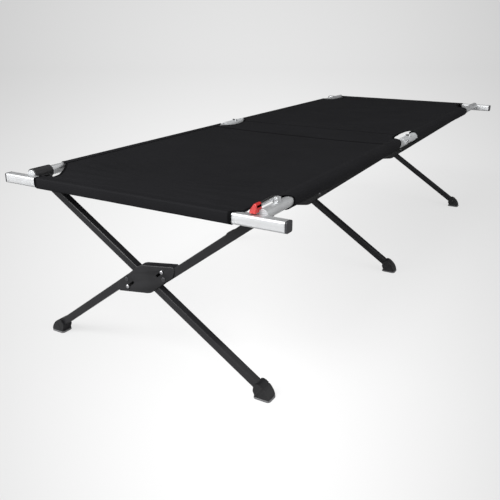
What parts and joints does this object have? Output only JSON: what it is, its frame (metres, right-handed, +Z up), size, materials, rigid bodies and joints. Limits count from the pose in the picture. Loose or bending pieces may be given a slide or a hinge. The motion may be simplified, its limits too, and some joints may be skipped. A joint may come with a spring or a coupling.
{
  "type": "folding camp cot",
  "caption": "Folding camp cot with a fabric bed stretched over jointed side rails and end bars, crossed folding legs and a tension lever.",
  "frame": {"origin": "on the floor, under the middle of the cot", "axes": "+X is the cot's right side with the lever, +Y runs from the end with the lever to the other end, +Z is up"},
  "size_m": [0.8266, 2.111, 0.487],
  "materials": {
    "steel": "satin black powder coat",
    "aluminium": "satin mill finish",
    "black_plastic": "fine grain",
    "grey_plastic": "smooth light grey",
    "zinc": "zinc plated",
    "red_plastic": "satin red",
    "fabric": "coated woven polyester, black"
  },
  "bodies": {
    "left_rail_near": {"rail_left_near": "aluminium", "hinge_housing_left": "grey_plastic", "hinge_pin_left": "zinc", "bracket_left_1": "black_plastic", "bracket_left_2": "black_plastic", "fabric_near": "fabric"},
    "left_rail_far": {"rail_left_far": "aluminium", "hinge_tongue_left": "black_plastic", "bracket_left_3": "black_plastic", "fabric_far": "fabric"},
    "right_rail_near": {"rail_right_near": "aluminium", "hinge_housing_right": "grey_plastic", "hinge_pin_right": "zinc", "bracket_right_1": "black_plastic", "bracket_right_2": "black_plastic", "lever_mount": "black_plastic"},
    "right_rail_far": {"rail_right_far": "aluminium", "hinge_tongue_right": "black_plastic", "bracket_right_3": "black_plastic"},
    "end_bar_near_body": {"end_bar_near": "aluminium", "end_cap_near_left": "black_plastic", "end_cap_near_right": "black_plastic"},
    "end_bar_far_body": {"end_bar_far": "aluminium", "end_cap_far_left": "black_plastic", "end_cap_far_right": "black_plastic"},
    "lever": {"lever_arm": "aluminium", "lever_handle": "red_plastic"},
    "leg_a_1": {"long_leg_1": "steel", "foot_right_1": "black_plastic", "hub_plate_front_1": "steel", "hub_plate_back_1": "steel", "hub_rivet_upper_1": "zinc", "hub_rivet_lower_1": "zinc"},
    "leg_b_upper_1": {"upper_half_leg_1": "steel"},
    "leg_b_lower_1": {"lower_half_leg_1": "steel", "foot_left_1": "black_plastic"},
    "lock_upper_1": {"lock_bolt_upper_1": "zinc"},
    "lock_lower_1": {"lock_bolt_lower_1": "zinc"},
    "leg_a_2": {"long_leg_2": "steel", "foot_right_2": "black_plastic", "hub_plate_front_2": "steel", "hub_plate_back_2": "steel", "hub_rivet_upper_2": "zinc", "hub_rivet_lower_2": "zinc"},
    "leg_b_upper_2": {"upper_half_leg_2": "steel"},
    "leg_b_lower_2": {"lower_half_leg_2": "steel", "foot_left_2": "black_plastic"},
    "lock_upper_2": {"lock_bolt_upper_2": "zinc"},
    "lock_lower_2": {"lock_bolt_lower_2": "zinc"},
    "leg_a_3": {"long_leg_3": "steel", "foot_right_3": "black_plastic", "hub_plate_front_3": "steel", "hub_plate_back_3": "steel", "hub_rivet_upper_3": "zinc", "hub_rivet_lower_3": "zinc"},
    "leg_b_upper_3": {"upper_half_leg_3": "steel"},
    "leg_b_lower_3": {"lower_half_leg_3": "steel", "foot_left_3": "black_plastic"},
    "lock_upper_3": {"lock_bolt_upper_3": "zinc"},
    "lock_lower_3": {"lock_bolt_lower_3": "zinc"}
  },
  "joints": [
    {"name": "leg_fold", "type": "hinge", "parent": "left_rail_near", "child": "leg_a_2", "pos_m": [-0.32, -0.087, 0.44], "axis": [0, 1, 0], "range_deg": [0, 57.2], "deforming": ["fabric_near", "fabric_far"]},
    {"name": "leg_fold_1", "type": "hinge", "parent": "left_rail_near", "child": "leg_a_1", "pos_m": [-0.32, -0.997, 0.44], "axis": [0, 1, 0], "range_deg": [0, 57.2]},
    {"name": "leg_fold_3", "type": "hinge", "parent": "left_rail_far", "child": "leg_a_3", "pos_m": [-0.32, 0.87, 0.44], "axis": [0, 1, 0], "range_deg": [0, 57.2]},
    {"name": "upper_fold_1", "type": "hinge", "parent": "leg_a_1", "child": "leg_b_upper_1", "pos_m": [0.0589, -0.997, 0.2462], "axis": [0, -1, 0], "range_deg": [0, 110]},
    {"name": "lower_fold_1", "type": "hinge", "parent": "leg_a_1", "child": "leg_b_lower_1", "pos_m": [-0.0589, -0.997, 0.2222], "axis": [0, -1, 0], "range_deg": [0, 110]},
    {"name": "upper_fold_2", "type": "hinge", "parent": "leg_a_2", "child": "leg_b_upper_2", "pos_m": [0.0589, -0.087, 0.2462], "axis": [0, -1, 0], "range_deg": [0, 110]},
    {"name": "lower_fold_2", "type": "hinge", "parent": "leg_a_2", "child": "leg_b_lower_2", "pos_m": [-0.0589, -0.087, 0.2222], "axis": [0, -1, 0], "range_deg": [0, 110]},
    {"name": "upper_fold_3", "type": "hinge", "parent": "leg_a_3", "child": "leg_b_upper_3", "pos_m": [0.0589, 0.87, 0.2462], "axis": [0, -1, 0], "range_deg": [0, 110]},
    {"name": "lower_fold_3", "type": "hinge", "parent": "leg_a_3", "child": "leg_b_lower_3", "pos_m": [-0.0589, 0.87, 0.2222], "axis": [0, -1, 0], "range_deg": [0, 110]},
    {"name": "right_rail_turn", "type": "hinge", "parent": "leg_b_upper_2", "child": "right_rail_near", "pos_m": [0.32, -0.087, 0.44], "axis": [0, 1, 0], "range_deg": [0, 52.8]},
    {"name": "end_bar_near_turn", "type": "hinge", "parent": "left_rail_near", "child": "end_bar_near_body", "pos_m": [-0.343, -1.043, 0.455], "axis": [0, 1, 0], "range_deg": [0, 90]},
    {"name": "end_bar_far_turn", "type": "hinge", "parent": "left_rail_far", "child": "end_bar_far_body", "pos_m": [-0.343, 1.043, 0.455], "axis": [0, 1, 0], "range_deg": [0, 90]},
    {"name": "rail_fold", "type": "hinge", "parent": "left_rail_near", "child": "left_rail_far", "pos_m": [-0.343, -0.037, 0.473], "axis": [-1, 0, 0], "range_deg": [0, 90], "deforming": ["fabric_near", "fabric_far"]},
    {"name": "rail_fold_right", "type": "hinge", "parent": "right_rail_near", "child": "right_rail_far", "pos_m": [0.343, -0.037, 0.473], "axis": [-1, 0, 0], "range_deg": [0, 90]},
    {"name": "lever_lift", "type": "hinge", "parent": "right_rail_near", "child": "lever", "pos_m": [0.332, -0.962, 0.4785], "axis": [-1, 0, 0], "range_deg": [0, 100]},
    {"name": "release_upper_1", "type": "slide", "parent": "leg_a_1", "child": "lock_upper_1", "axis": [-0.775, 0, -0.632], "range_m": [0, 0.022], "stiffness_N_per_m": 200, "springref_m": -0.002},
    {"name": "release_lower_1", "type": "slide", "parent": "leg_a_1", "child": "lock_lower_1", "axis": [0.775, 0, 0.632], "range_m": [0, 0.022], "stiffness_N_per_m": 200, "springref_m": -0.002},
    {"name": "release_upper_2", "type": "slide", "parent": "leg_a_2", "child": "lock_upper_2", "axis": [-0.775, 0, -0.632], "range_m": [0, 0.022], "stiffness_N_per_m": 200, "springref_m": -0.002},
    {"name": "release_lower_2", "type": "slide", "parent": "leg_a_2", "child": "lock_lower_2", "axis": [0.775, 0, 0.632], "range_m": [0, 0.022], "stiffness_N_per_m": 200, "springref_m": -0.002},
    {"name": "release_upper_3", "type": "slide", "parent": "leg_a_3", "child": "lock_upper_3", "axis": [-0.775, 0, -0.632], "range_m": [0, 0.022], "stiffness_N_per_m": 200, "springref_m": -0.002},
    {"name": "release_lower_3", "type": "slide", "parent": "leg_a_3", "child": "lock_lower_3", "axis": [0.775, 0, 0.632], "range_m": [0, 0.022], "stiffness_N_per_m": 200, "springref_m": -0.002}
  ],
  "couplings": [
    {"joint": "leg_fold_1", "follows": "leg_fold", "ratio": 1},
    {"joint": "leg_fold_3", "follows": "leg_fold", "ratio": 1},
    {"joint": "upper_fold_1", "follows": "leg_fold", "ratio": 1.9231},
    {"joint": "lower_fold_1", "follows": "leg_fold", "ratio": 1.9231},
    {"joint": "upper_fold_2", "follows": "leg_fold", "ratio": 1.9231},
    {"joint": "lower_fold_2", "follows": "leg_fold", "ratio": 1.9231},
    {"joint": "upper_fold_3", "follows": "leg_fold", "ratio": 1.9231},
    {"joint": "lower_fold_3", "follows": "leg_fold", "ratio": 1.9231},
    {"joint": "right_rail_turn", "follows": "leg_fold", "ratio": 0.92308},
    {"joint": "end_bar_near_turn", "follows": "leg_fold", "ratio": 1.5734},
    {"joint": "end_bar_far_turn", "follows": "leg_fold", "ratio": 1.5734},
    {"joint": "rail_fold_right", "follows": "rail_fold", "ratio": 1}
  ]
}
